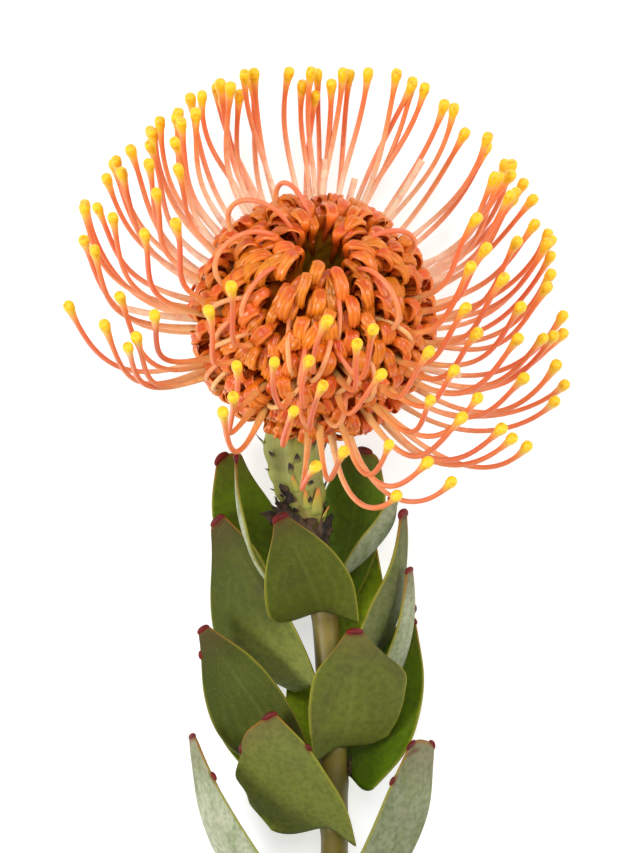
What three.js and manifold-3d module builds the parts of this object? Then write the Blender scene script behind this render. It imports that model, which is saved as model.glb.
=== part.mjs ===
// A cut stem of nodding pincushion protea (Leucospermum cordifolium) that lies on a table.
// Millimetres, +Z up. The stem runs towards -Y, the flower head looks up and towards +Y.
// The origin is on the table, under the centre of the head, in the flat spot that the head lies on.

import * as THREE from "three";
import { mergeVertices } from "three/addons/utils/BufferGeometryUtils.js";
import Module from "manifold-3d";

const wasm = await Module();
wasm.setup();

// ---- driving dimensions -------------------------------------------------------------------

const BALL_RADIUS = 27; // over the outside of the perianth curls
const FLAT_SPOT_DEPTH = 0.6; // how far the lowest curls are pressed flat by the head's weight
const HEAD_HEIGHT = BALL_RADIUS - FLAT_SPOT_DEPTH; // centre of the head above the table
const HEAD_TILT = 40; // degrees that the head's axis leans from upright, towards +Y
const HEAD_TURN = -11; // degrees that the leaning axis then turns about Z

const CORE_RADIUS = 20.5; // receptacle and perianth tubes, under the curls
const HOLLOW_RADIUS = 6; // open crown at the apex
const HOLLOW_DEPTH = 13;

const STYLE_COUNT = 96;
const STYLE_RADIUS = 0.62;
const STYLE_ROOT = 17.5; // where styles and arches start, from the centre of the head
const STYLE_SIDES = 3;
const STYLE_REACH = 56; // from the centre of the head to the furthest knobs
const KNOB_RADIUS = 1.3; // pollen presenter

const CURL_COUNT = 58;
const CURL_WIDTH = 6.8;
const CURL_THICKNESS = 1.1;
const CURL_FIRST = 33; // degrees from the head's axis, at the crown
const CURL_LAST = 150; // at the stalk
const CURL_CLEARANCE = 12.5; // degrees between a curl's middle and a style beside it

const STEM_RADIUS = 3.1;
const STEM_SINK = 0.3; // of the cut end that the table flattens
const PEDUNCLE_RADIUS = 6;
const SOCKET_START = 12; // the stalk enters the head up to this distance from its centre
const FIT_GAP = 0.35; // between the stalk and its socket in the head
const LEAF_GAP = 0.45; // between the stem and the foot of a blade
const SCALY_START = 30; // the scaly stalk under the head, in Y below the head's centre
const SCALY_END = 50;
const BRACT_COUNT = 22;

const BLADE_THICKNESS = 0.8;
const BLADE_ACROSS = 4; // facets across a blade
const BLADE_ALONG = 8; // and along it
const CORNER = 0.45; // how far the blade's corners are rounded off, as a share of its half width
const GOLDEN_ANGLE = 137.508;

// The stem's centre line, from the centre of the head to the cut end.
const STEM_ROUTE = [
  [0, 0, 0],
  [-2.5, -13, -10.6],
  [-4.3, -26.2, -13.6],
  [-1.5, -43.4, -13.8],
  [2.8, -64.9, -14.4],
  [4.7, -99.3, -16.4],
  [4.9, -121, -19],
  [4.8, -146, STEM_RADIUS - STEM_SINK - HEAD_HEIGHT],
].map(([x, y, z]) => new THREE.Vector3(x, y, z));

// Leaves: at = place along the stem (Y), around = side of the stem in degrees (0 up, 90 to +X),
// open = angle that the blade leaves the stem at, tip = where it ends, cup = how deeply it is hollowed,
// left and right = half widths at even steps from base to tip, seen from outside,
// lobes = how far the left and right halves of the base hang below where the blade is fixed,
// roll and twist = degrees that the blade turns about its midrib at the base and more by the tip.
const LEAVES = [
  {
    at: -63.4, around: -6, open: 55, tip: [-7, -42.8, 2],
    left: [10, 11, 10.2, 7.2, 1.9], right: [8, 9, 8, 5.6, 1.9],
    lobes: [3.4, 5.5], cup: 0.01, roll: 14,
  },
  {
    at: -80, around: -58, open: 24, tip: [-21, -43.9, -16.8],
    left: [12, 17, 17, 12, 3], right: [2, 2.4, 2.2, 3.6, 2],
    lobes: [6, 1], cup: 0.06, roll: 30,
  },
  {
    at: -93.4, around: 22, open: 46, tip: [9.2, -67.7, -2.6],
    left: [7, 8.8, 9.6, 8.6, 3], right: [10.5, 12.6, 13.2, 12, 3],
    lobes: [5, 2], cup: 0.06,
  },
  {
    at: -111, around: -22, open: 42, tip: [-9.3, -86, -4],
    left: [12.5, 15.5, 15, 15.2, 11.5], right: [7.4, 7, 5.6, 4.2, 1.8],
    lobes: [6.5, 6], cup: 0.08,
  },
  {
    at: -138, around: -50, open: 58, tip: [-26.3, -91, -10],
    left: [8, 12, 12, 9, 2], right: [5, 8, 8, 6, 1.6],
    lobes: [2, 2], cup: 0.14, twist: -10,
  },
  {
    at: -133, around: 48, open: 44, tip: [25.4, -92, -9],
    left: [6, 9.5, 10, 9, 6], right: [5, 6, 6.4, 6, 2.4],
    lobes: [2, 2], cup: 0.1,
  },
  {
    at: -103, around: -72, open: 34, tip: [-24, -67.6, -11],
    left: [3, 10, 11.5, 8.5, 1.6], right: [3, 5.4, 6.6, 5.5, 1.6],
    lobes: [0.5, 0.5], cup: 0.04, roll: 56,
  },
  {
    at: -110.4, around: -106, open: 36, tip: [-22.6, -80, -23],
    left: [1, 1.6, 4, 4, 1.2], right: [1.5, 5, 6.5, 6, 1.2],
    lobes: [0.5, 0.5], cup: 0.04, roll: -74,
  },
  {
    at: -60, around: -115, open: 66, tip: [-17, -29.2, -20.6],
    left: [4, 7, 7.5, 7, 1.5], right: [4, 6.5, 7, 7, 4.6],
    lobes: [2, 2], cup: 0.1, roll: -45,
  },
  {
    at: -62, around: -62, open: 65, tip: [-16.4, -29.8, -1],
    left: [0.8, 1, 2, 3.4, 1], right: [0.8, 1, 2, 3.4, 1],
    lobes: [0.4, 0.4], cup: 0.16, twist: -30,
  },
  {
    at: -65, around: 140, open: 26, tip: [11.7, -28.6, -19.5],
    left: [3, 7.5, 8.8, 8.3, 5.2], right: [4, 8, 9, 8.5, 5],
    lobes: [2, 2], cup: 0.1,
  },
  {
    at: -58, around: 66, open: 52, tip: [18, -38.4, -4.6],
    left: [1, 1.8, 2, 1.4, 0.8], right: [1.2, 4, 4.8, 4, 1.2],
    lobes: [0.4, 0.4], cup: 0.2, roll: -36,
  },
  {
    at: -77, around: 136, open: 30, tip: [13, -49, -21],
    left: [4, 8, 8, 6, 2], right: [4, 8, 8, 6, 2],
    lobes: [2, 2], cup: 0.12,
  },
  {
    at: -82, around: 88, open: 38, tip: [19.8, -42, -8],
    left: [3, 7, 6.5, 3, 1], right: [3, 5.5, 5.5, 3.5, 1.2],
    lobes: [2, 2], cup: 0.16, roll: -35,
  },
  {
    at: -91, around: 95, open: 50, tip: [21.2, -54.6, -10],
    left: [2, 4, 4.2, 3, 1.2], right: [2, 4, 4.2, 3, 1.2],
    lobes: [2, 2], cup: 0.12, roll: -42,
  },
  {
    at: -101, around: 122, open: 34, tip: [21.6, -66, -20.5],
    left: [8, 11.5, 10.6, 7.6, 2], right: [4, 6, 6, 5, 2],
    lobes: [5.5, 2], cup: 0.1, roll: 20, twist: 10,
  },
  {
    at: -111.5, around: 184, open: 22, tip: [-4, -77.5, -24.3],
    left: [2.5, 3, 3.5, 3.5, 2], right: [10.5, 9, 8, 6.5, 2.5],
    lobes: [3, 5.5], cup: 0.04,
  },
];

// Styles that are still caught by their tips in the crown and stand as arches:
// side = angle round the head, from = where the arch ends in the crown, to = where it springs from
// the ball, high = how far out its back stands, drift = how far it moves round the head on the way.
const ARCHES = [
  { side: 176, from: 21, to: 58, high: 39, drift: 30 },
  { side: 158, from: 17, to: 54, high: 40, drift: 8 },
  { side: -30, from: 18, to: 56, high: 38, drift: -8 },
  { side: 16, from: 15, to: 50, high: 37, drift: 8 },
  { side: -66, from: 22, to: 54, high: 30, drift: -6 },
  { side: -82, from: 34, to: 74, high: 30, drift: -4 },
  { side: -142, from: 22, to: 60, high: 35, drift: 14 },
  { side: 122, from: 16, to: 46, high: 37, drift: 12 },
];

// Broken styles without a knob: side and lean give the direction, reach the length.
const STUBS = [
  { side: 84, lean: 74, reach: 34 },
  { side: 64, lean: 70, reach: 43 },
  { side: 96, lean: 80, reach: 39 },
  { side: -166, lean: 92, reach: 41 },
  { side: -24, lean: 84, reach: 37 },
];

// ---- small helpers ------------------------------------------------------------------------

const radians = THREE.MathUtils.degToRad;
const vector = (x, y, z) => new THREE.Vector3(x, y, z);

// A repeatable number from 0 to 1 for item i and use k.
function jitter(i, k) {
  const value = Math.sin(i * 12.9898 + k * 78.233) * 43758.5453;
  return value - Math.floor(value);
}

// 0 below low, 1 above high, straight between.
function ramp(value, low, high) {
  return Math.min(1, Math.max(0, (value - low) / (high - low)));
}

const headRotation = new THREE.Matrix4()
  .makeRotationZ(radians(HEAD_TURN))
  .multiply(new THREE.Matrix4().makeRotationX(radians(-HEAD_TILT)));

// Direction from the centre of the head: lean from its axis and side round it, in degrees.
function aim(lean, side) {
  const a = radians(lean);
  const b = radians(side);
  const local = vector(Math.sin(a) * Math.cos(b), Math.sin(a) * Math.sin(b), Math.cos(a));
  return local.applyMatrix4(headRotation);
}

function solidOf(geometry) {
  const bare = geometry.clone();
  bare.deleteAttribute("normal");
  bare.deleteAttribute("uv");
  const merged = mergeVertices(bare, 1e-4);
  const mesh = new wasm.Mesh({
    numProp: 3,
    vertProperties: merged.getAttribute("position").array,
    triVerts: new Uint32Array(merged.index.array),
  });
  return new wasm.Manifold(mesh);
}

// The largest body of a solid, without slivers, as a geometry for drawing.
function geometryOf(solid) {
  const bodies = solid.decompose();
  bodies.sort((a, b) => b.volume() - a.volume());
  const mesh = bodies[0].simplify(0.01).getMesh();
  const geometry = new THREE.BufferGeometry();
  geometry.setAttribute("position", new THREE.BufferAttribute(mesh.vertProperties, 3));
  geometry.setIndex(new THREE.BufferAttribute(mesh.triVerts, 1));
  geometry.computeVertexNormals();
  return geometry;
}

function named(name, geometry, colour, roughness) {
  const material = new THREE.MeshStandardMaterial({ color: colour, roughness, metalness: 0 });
  const mesh = new THREE.Mesh(geometry, material);
  mesh.name = name;
  return mesh;
}

// A closed tube through ring centres, with a radius for each ring.
function tube(centres, radii, sides, reference) {
  const last = centres.length - 1;
  const geometry = new THREE.CylinderGeometry(1, 1, 1, sides, last);
  const position = geometry.getAttribute("position");
  for (let k = 0; k < position.count; k += 1) {
    const ring = Math.round((position.getY(k) + 0.5) * last);
    const before = centres[Math.max(0, ring - 1)];
    const after = centres[Math.min(last, ring + 1)];
    const along = after.clone().sub(before).normalize();
    const side = reference.clone().addScaledVector(along, -reference.dot(along)).normalize();
    const up = side.clone().cross(along);
    const point = centres[ring]
      .clone()
      .addScaledVector(side, position.getX(k) * radii[ring])
      .addScaledVector(up, position.getZ(k) * radii[ring]);
    position.setXYZ(k, point.x, point.y, point.z);
  }
  return geometry;
}

// ---- stem ---------------------------------------------------------------------------------

const stemLine = new THREE.CatmullRomCurve3(STEM_ROUTE, false, "catmullrom", 0.5);

// Share of the stem line at which it passes the given Y.
function stemShare(y) {
  let low = 0;
  let high = 1;
  for (let step = 0; step < 30; step += 1) {
    const middle = (low + high) / 2;
    if (stemLine.getPoint(middle).y > y) low = middle;
    else high = middle;
  }
  return low;
}

// The stalk is thick and scaly under the head and thins down to the leafy stem.
function stemRadius(y) {
  const thick = 1 - ramp(-y, SCALY_START, SCALY_END);
  const eased = thick * thick * (3 - 2 * thick);
  return STEM_RADIUS + (PEDUNCLE_RADIUS - STEM_RADIUS) * eased;
}

// Centre, direction and the two crosswise directions of the stem at a height Y.
function stemFrame(y) {
  const share = stemShare(y);
  const centre = stemLine.getPoint(share);
  const upward = stemLine.getPoint(share - 0.002).sub(stemLine.getPoint(share + 0.002)).normalize();
  const right = vector(1, 0, 0).addScaledVector(upward, -upward.x).normalize();
  const top = right.clone().cross(upward);
  return { centre, upward, right, top };
}

function stemSide(frame, around) {
  const a = radians(around);
  return frame.top.clone().multiplyScalar(Math.cos(a)).addScaledVector(frame.right, Math.sin(a));
}

function stemTube(extra, firstShare, lastShare, rings) {
  const centres = [];
  const radii = [];
  for (let k = 0; k < rings; k += 1) {
    const share = firstShare + ((lastShare - firstShare) * k) / (rings - 1);
    const centre = stemLine.getPoint(share);
    centres.push(centre);
    radii.push(stemRadius(centre.y) + extra);
  }
  return tube(centres, radii, 8, vector(1, 0, 0));
}

// Share of the stem line at a distance from the centre of the head.
function shareAtDistance(distance) {
  let share = 0;
  while (stemLine.getPoint(share).length() < distance) share += 0.001;
  return share;
}

// Pointed scales in a spiral up the stalk, lying close to it.
function bract(k) {
  const y = -SCALY_START - ((SCALY_END - SCALY_START) * k) / BRACT_COUNT;
  const frame = stemFrame(y);
  const outward = stemSide(frame, k * GOLDEN_ANGLE);
  const length = 5 + 2 * jitter(k, 1);
  const scale = new THREE.ConeGeometry(1.9, length, 4, 1);
  scale.scale(1, 1, 0.6);
  const upward = frame.upward.clone().addScaledVector(outward, 0.42).normalize();
  const across = upward.clone().cross(outward).normalize();
  const turn = new THREE.Matrix4().makeBasis(across, upward, across.clone().cross(upward));
  scale.applyMatrix4(turn);
  const seat = frame.centre.clone().addScaledVector(outward, stemRadius(y) - 0.5);
  seat.addScaledVector(upward, length * 0.28);
  scale.translate(seat.x, seat.y, seat.z);
  return solidOf(scale);
}

function makeStem() {
  const start = shareAtDistance(SOCKET_START + FIT_GAP);
  const parts = [solidOf(stemTube(0, start, 1, 22))];
  for (let k = 0; k < BRACT_COUNT; k += 1) parts.push(bract(k));
  return named("stem", geometryOf(wasm.Manifold.union(parts).subtract(tableCut())), 0x8a9a4a, 0.7);
}

// ---- leaves -------------------------------------------------------------------------------

// Smooth line through half widths at even steps along the blade.
function bladeEdge(halves) {
  return new THREE.SplineCurve(halves.map((half, k) => new THREE.Vector2(half, k)));
}

function leafGeometry(leaf) {
  const frame = stemFrame(leaf.at);
  const outward = stemSide(frame, leaf.around);
  const seat = stemRadius(leaf.at) + LEAF_GAP + BLADE_THICKNESS / 2;
  const base = frame.centre.clone().addScaledVector(outward, seat);
  const tip = vector(...leaf.tip);
  const length = base.distanceTo(tip);
  const open = radians(leaf.open);
  const start = frame.upward.clone().multiplyScalar(Math.cos(open));
  start.addScaledVector(outward, Math.sin(open));
  const bend = base.clone().addScaledVector(start, length * 0.5);
  const midrib = new THREE.QuadraticBezierCurve3(base, bend, tip);

  const edges = [bladeEdge(leaf.left), bladeEdge(leaf.right)];
  const width = Math.max(...leaf.left) + Math.max(...leaf.right);

  const grid = new THREE.PlaneGeometry(2, 1, BLADE_ACROSS, BLADE_ALONG);
  const place = grid.getAttribute("position");
  const count = place.count;
  const points = new Float32Array(count * 6);
  for (let k = 0; k < count; k += 1) {
    const u = place.getX(k);
    const v = place.getY(k) + 0.5;
    const tangent = midrib.getTangent(v).normalize();
    const normal = outward.clone().addScaledVector(tangent, -outward.dot(tangent)).normalize();
    const turned = (leaf.roll ?? 0) * (1 - (1 - v) ** 6) + (leaf.twist ?? 0) * v;
    normal.applyAxisAngle(tangent, radians(turned));
    const side = tangent.clone().cross(normal);
    const half = edges[u < 0 ? 0 : 1].getPoint(v).x;
    const x = u * half;
    const lobe = leaf.lobes[u < 0 ? 0 : 1] * (1 - v) ** 3 * Math.abs(u) ** 1.5;
    const corner = CORNER * half * u ** 4 * ((1 - v) ** 3 - v ** 6);
    const hollow = leaf.cup * (1 + 0.6 * (1 - v) ** 2) * ((2 * x * x) / width);
    const middle = midrib
      .getPoint(v)
      .addScaledVector(side, x)
      .addScaledVector(frame.upward, -lobe)
      .addScaledVector(tangent, corner)
      .addScaledVector(normal, -hollow);
    const top = middle.clone().addScaledVector(normal, BLADE_THICKNESS / 2);
    const bottom = middle.addScaledVector(normal, -BLADE_THICKNESS / 2);
    points.set(top.toArray(), k * 3);
    points.set(bottom.toArray(), (count + k) * 3);
  }

  const index = [];
  const face = grid.index.array;
  for (let k = 0; k < face.length; k += 3) {
    index.push(face[k], face[k + 1], face[k + 2]);
    index.push(count + face[k], count + face[k + 2], count + face[k + 1]);
  }
  const rim = bladeRim();
  for (let k = 0; k < rim.length; k += 1) {
    const i = rim[k];
    const j = rim[(k + 1) % rim.length];
    index.push(count + i, count + j, j);
    index.push(count + i, j, i);
  }
  const blade = new THREE.BufferGeometry();
  blade.setAttribute("position", new THREE.BufferAttribute(points, 3));
  blade.setIndex(index);
  blade.computeVertexNormals();
  return blade;
}

// The grid's outer vertices in anticlockwise order, from the tip row's left end downwards.
function bladeRim() {
  const row = BLADE_ACROSS + 1;
  const rim = [];
  for (let r = 0; r < BLADE_ALONG; r += 1) rim.push(r * row);
  for (let c = 0; c < BLADE_ACROSS; c += 1) rim.push(BLADE_ALONG * row + c);
  for (let r = BLADE_ALONG; r > 0; r -= 1) rim.push(r * row + BLADE_ACROSS);
  for (let c = BLADE_ACROSS; c > 0; c -= 1) rim.push(c);
  return rim;
}

function makeLeaf(leaf, k) {
  const name = "leaf_" + String(k + 1).padStart(2, "0");
  return named(name, leafGeometry(leaf), 0x66783a, 0.75);
}

// ---- flower head --------------------------------------------------------------------------

// Solid ball of packed perianth tubes with the open crown at its apex.
function core() {
  const outline = [new THREE.Vector2(0, -CORE_RADIUS)];
  for (let lean = 160; lean > 24; lean -= 20) {
    const a = radians(lean);
    outline.push(new THREE.Vector2(CORE_RADIUS * Math.sin(a), CORE_RADIUS * Math.cos(a)));
  }
  const rim = CORE_RADIUS * 0.98;
  outline.push(new THREE.Vector2(HOLLOW_RADIUS + 0.8, rim));
  outline.push(new THREE.Vector2(HOLLOW_RADIUS, rim - 1.5));
  outline.push(new THREE.Vector2(HOLLOW_RADIUS * 0.7, rim - HOLLOW_DEPTH * 0.85));
  outline.push(new THREE.Vector2(0, rim - HOLLOW_DEPTH));
  const ball = new THREE.LatheGeometry(outline, 14);
  ball.rotateX(Math.PI / 2);
  ball.applyMatrix4(headRotation);
  return solidOf(ball);
}

// One perianth rolled back in a hook: its centre line as [along the ball, from the centre].
const CURL_PATH = [
  [-3.4, 19],
  [-3, 24.2],
  [-1.5, 26.45],
  [1.6, 26.45],
  [3.7, 24.3],
  [3.3, 21.6],
];

function curl(lean, side, spin, rise) {
  const out = aim(lean, side);
  const away = aim(lean + 90, side).applyAxisAngle(out, radians(spin));
  const across = away.clone().cross(out);
  const last = CURL_PATH.length - 1;
  const strip = new THREE.BoxGeometry(CURL_WIDTH, 1, CURL_THICKNESS, 1, last, 1);
  const position = strip.getAttribute("position");
  for (let k = 0; k < position.count; k += 1) {
    const ring = Math.round((position.getY(k) + 0.5) * last);
    const [s, r] = CURL_PATH[ring];
    const [s0, r0] = CURL_PATH[Math.max(0, ring - 1)];
    const [s1, r1] = CURL_PATH[Math.min(last, ring + 1)];
    const step = Math.hypot(s1 - s0, r1 - r0);
    const narrow = 1 - 0.3 * (ring / last) ** 2;
    const z = position.getZ(k);
    const outward = r + rise + (z * (s1 - s0)) / step;
    const onward = s - (z * (r1 - r0)) / step;
    const point = vector(0, 0, 0)
      .addScaledVector(across, position.getX(k) * narrow)
      .addScaledVector(away, onward)
      .addScaledVector(out, outward);
    position.setXYZ(k, point.x, point.y, point.z);
  }
  return solidOf(strip);
}

// Curls cover the ball from the crown to the stalk, in a spiral of equal areas.
function curlLean(k) {
  const first = Math.cos(radians(CURL_FIRST));
  const last = Math.cos(radians(CURL_LAST));
  return THREE.MathUtils.radToDeg(Math.acos(first + ((last - first) * (k + 0.5)) / CURL_COUNT));
}

function curls() {
  const parts = [];
  for (let k = 0; k < CURL_COUNT; k += 1) {
    const spin = 40 * (jitter(k, 12) - 0.5);
    parts.push(curl(curlLean(k), k * GOLDEN_ANGLE, spin, -0.5 * jitter(k, 13)));
  }
  return parts;
}

// A direction turned away from the nearest curl, so that what leaves the ball there misses it.
function betweenCurls(out) {
  const places = Array.from({ length: CURL_COUNT }, (_, k) => aim(curlLean(k), k * GOLDEN_ANGLE));
  places.sort((a, b) => a.angleTo(out) - b.angleTo(out));
  const short = radians(CURL_CLEARANCE) - places[0].angleTo(out);
  if (short <= 0) return out;
  const hinge = places[0].clone().cross(out).normalize();
  return out.clone().applyAxisAngle(hinge, short);
}

// The curl under the head's centre, whose flat back is the spot that the head lies on.
function restingCurl() {
  const down = vector(0, 0, -1).applyMatrix4(headRotation.clone().invert());
  const lean = THREE.MathUtils.radToDeg(Math.acos(down.z));
  const side = THREE.MathUtils.radToDeg(Math.atan2(down.y, down.x));
  return curl(lean, side, 0, 0);
}

// Keep a style's centre line on or above the table.
function aboveTable(point) {
  point.z = Math.max(point.z, STYLE_RADIUS * 0.6 - HEAD_HEIGHT);
  return point;
}

// Curve of one style: out from between the curls, then hooked up to its knob.
function styleCurve(k) {
  const turn = k * GOLDEN_ANGLE;
  const crowd = 10 * Math.cos(radians(turn));
  const side = turn + crowd + 14 * (jitter(k, 1) - 0.5);
  const a = radians(side);
  const inner = 43 + 6 * Math.sin(a) - 4 * Math.cos(2 * a);
  const outer = 73 + 11 * Math.cos(2 * a) + 5 * Math.cos(a + radians(50));
  const near = Math.cos(radians(inner));
  const far = Math.cos(radians(outer));
  const spread = THREE.MathUtils.radToDeg(Math.acos(near + ((far - near) * (k + 0.5)) / STYLE_COUNT));
  const lean = spread + 3 * (jitter(k, 2) - 0.5);
  const shorter = 8 * (1 - ramp(lean, 35, 80)) - 2 * Math.max(0, Math.sin(a));
  const reach = (STYLE_REACH - shorter) * (1 + 0.04 * (jitter(k, 3) - 0.5));
  const below = 24 + 0.42 * (lean - 40) + 7 * (jitter(k, 4) - 0.5);
  const out = betweenCurls(aim(lean + below, side + 8 * (jitter(k, 5) - 0.5)));
  const hook = aim(12 + 10 * jitter(k, 6), side + 28 * (jitter(k, 7) - 0.5));
  const root = out.clone().multiplyScalar(STYLE_ROOT);
  const bend = out.clone().multiplyScalar(36 + 10 * ramp(lean, 35, 70));
  const knob = aim(lean, side).multiplyScalar(reach);
  const rise = knob.clone().addScaledVector(hook, -15 - 3 * jitter(k, 8));
  return new THREE.CubicBezierCurve3(root, bend, rise, knob);
}

// Rings of a style: share of its length, and its radius there.
const STYLE_RINGS = [
  [0, STYLE_RADIUS],
  [0.36, STYLE_RADIUS],
  [0.62, STYLE_RADIUS],
  [0.8, STYLE_RADIUS],
  [0.93, STYLE_RADIUS],
  [0.975, KNOB_RADIUS],
  [1, KNOB_RADIUS * 0.6],
];

function style(k) {
  const curve = styleCurve(k);
  const centres = STYLE_RINGS.map(([share]) => aboveTable(curve.getPointAt(share)));
  const radii = STYLE_RINGS.map(([, radius]) => radius);
  const reference = curve.v1.clone().cross(curve.v3).normalize();
  return solidOf(tube(centres, radii, STYLE_SIDES, reference));
}

function arch({ side, from, to, high, drift }) {
  const crown = aim(from, side).multiplyScalar(STYLE_ROOT);
  const foot = aim(to, side + drift).multiplyScalar(STYLE_ROOT);
  const rise = aim(from + 2, side + drift * 0.2).multiplyScalar(high);
  const fall = aim(to + 4, side + drift * 0.8).multiplyScalar(high);
  const curve = new THREE.CubicBezierCurve3(foot, fall, rise, crown);
  const centres = curve.getSpacedPoints(6);
  const reference = foot.clone().cross(crown).normalize();
  const radii = centres.map(() => STYLE_RADIUS);
  return solidOf(tube(centres, radii, STYLE_SIDES, reference));
}

function stub({ side, lean, reach }) {
  const out = aim(lean, side);
  const root = out.clone().multiplyScalar(STYLE_ROOT);
  const end = aim(lean - 6, side).multiplyScalar(reach);
  const middle = root.clone().lerp(end, 0.55).addScaledVector(out, 1);
  const centres = [root, middle, end].map(aboveTable);
  const radii = [STYLE_RADIUS, STYLE_RADIUS, STYLE_RADIUS * 0.9];
  return solidOf(tube(centres, radii, STYLE_SIDES, vector(0, 0, 1)));
}

function tableCut() {
  const slab = new THREE.BoxGeometry(300, 300, 40);
  slab.translate(0, 0, -HEAD_HEIGHT - 20);
  return solidOf(slab);
}

function stalkSocket() {
  const socket = stemTube(FIT_GAP, shareAtDistance(SOCKET_START), shareAtDistance(34), 8);
  return solidOf(socket);
}

function makeHead() {
  const parts = [core(), restingCurl(), ...curls(), ...ARCHES.map(arch), ...STUBS.map(stub)];
  for (let k = 0; k < STYLE_COUNT; k += 1) parts.push(style(k));
  const joined = wasm.Manifold.union(parts);
  const head = joined.subtract(stalkSocket()).subtract(tableCut());
  return named("flower_head", geometryOf(head), 0xe2702c, 0.55);
}

// ---- assembly -----------------------------------------------------------------------------

const group = new THREE.Group();
group.position.z = HEAD_HEIGHT;
group.add(makeStem(), makeHead());
LEAVES.forEach((leaf, k) => group.add(makeLeaf(leaf, k)));

export default group;
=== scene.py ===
"""A cut stem of nodding pincushion protea, lying on a table and seen from above.

Metres in Blender; the flower's own sizes below are in millimetres from the centre of its head.
"""

import math

import bmesh
import bpy
import numpy as np
from mathutils import Matrix, Vector


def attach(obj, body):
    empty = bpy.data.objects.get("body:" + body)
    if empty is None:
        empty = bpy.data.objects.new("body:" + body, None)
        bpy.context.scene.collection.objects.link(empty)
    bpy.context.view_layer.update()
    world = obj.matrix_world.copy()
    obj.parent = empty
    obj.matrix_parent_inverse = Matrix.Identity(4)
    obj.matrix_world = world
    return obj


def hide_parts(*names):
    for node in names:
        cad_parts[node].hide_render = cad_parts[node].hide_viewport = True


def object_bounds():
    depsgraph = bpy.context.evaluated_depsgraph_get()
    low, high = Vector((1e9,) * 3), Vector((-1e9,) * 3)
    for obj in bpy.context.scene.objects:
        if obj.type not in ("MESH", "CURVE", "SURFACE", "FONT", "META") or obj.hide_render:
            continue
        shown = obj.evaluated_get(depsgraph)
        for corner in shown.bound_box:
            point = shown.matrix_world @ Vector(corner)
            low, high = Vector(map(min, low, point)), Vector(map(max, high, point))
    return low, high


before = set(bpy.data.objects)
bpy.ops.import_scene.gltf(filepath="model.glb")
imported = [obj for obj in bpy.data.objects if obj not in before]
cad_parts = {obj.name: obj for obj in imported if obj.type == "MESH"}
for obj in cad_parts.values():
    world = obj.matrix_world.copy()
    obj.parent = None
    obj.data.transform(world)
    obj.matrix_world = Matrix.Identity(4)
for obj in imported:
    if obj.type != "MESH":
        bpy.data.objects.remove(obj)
cad_low, cad_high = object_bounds()

# ---- driving sizes, millimetres and degrees

MM = 0.001
HEAD_HEIGHT = 26.4  # centre of the head above the table
HEAD_TILT = 40  # the head's axis leans from upright, towards +Y
HEAD_TURN = -11  # and then turns about Z
BALL_RADIUS = 26.9  # over the rolled-back perianths
CORE_RADIUS = 20.5  # packed perianth tubes under them
HOLLOW_RADIUS = 5.2  # open crown at the apex
HOLLOW_DEPTH = 13
GOLDEN_ANGLE = 137.508

STYLE_COUNT = 162  # before the ring is thinned
STYLE_RADIUS = 0.57
STYLE_REACH = 56  # from the centre of the head to the furthest tips
STYLE_ROOT = 19

CURL_COUNT = 345
INNER_CURL_COUNT = 345
CURL_FIRST = 16  # degrees from the head's axis, at the crown
CURL_LAST = 152  # at the stalk

STEM_RADIUS = 3.1
PEDUNCLE_RADIUS = 5.9
SCALY_START = 30  # the scaly stalk, in Y below the head's centre
SCALY_END = 50
BRACT_COUNT = 38
BRACT_CUSHION = 0.75  # how far the stalk swells under a bract
NODE_CUSHION = 0.45  # and the stem at a leaf's node
STEM_RINGS = 320
STEM_SIDES = 40
LEAF_GAP = 0.45

# The stem's centre line, from the centre of the head to the cut end.
STEM_ROUTE = [
    [0, 0, 0], [-2.5, -13, -10.6], [-4.3, -26.2, -13.6], [-1.5, -43.4, -13.8], [2.8, -64.9, -14.4],
    [4.7, -99.3, -16.4], [4.9, -121, -19], [4.8, -146, STEM_RADIUS - 0.3 - HEAD_HEIGHT],
]
STEM_START = 12.4  # how far along that line its skin begins, inside the head


def leaf_form(at, around, opened, tip, left, right, **more):
    """One leaf.

    at = place along the stem, around = side of the stem (0 up, 90 to +X), opened = angle to the stem,
    tip = where the blade ends, left and right = widths of its halves from base to tip, seen from outside,
    lobes = how far each half hangs below the base, cup = how deeply it is hollowed,
    roll and twist = turn about its midrib, calluses = [edge, share of the length, size] of each,
    silver = share of pale felt with painted sheen on it, glow = share of painted light shining through,
    light = painted light and shade: how much lighter or darker it is at the base and at the tip.
    """
    usual = {"lobes": [2, 2], "roll": 0, "twist": 0, "calluses": [[0, 1, 1.3]], "silver": 0, "glow": 0,
             "light": (0, 0)}
    given = {"at": at, "around": around, "opened": opened, "tip": tip, "left": left, "right": right}
    return usual | given | more


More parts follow.
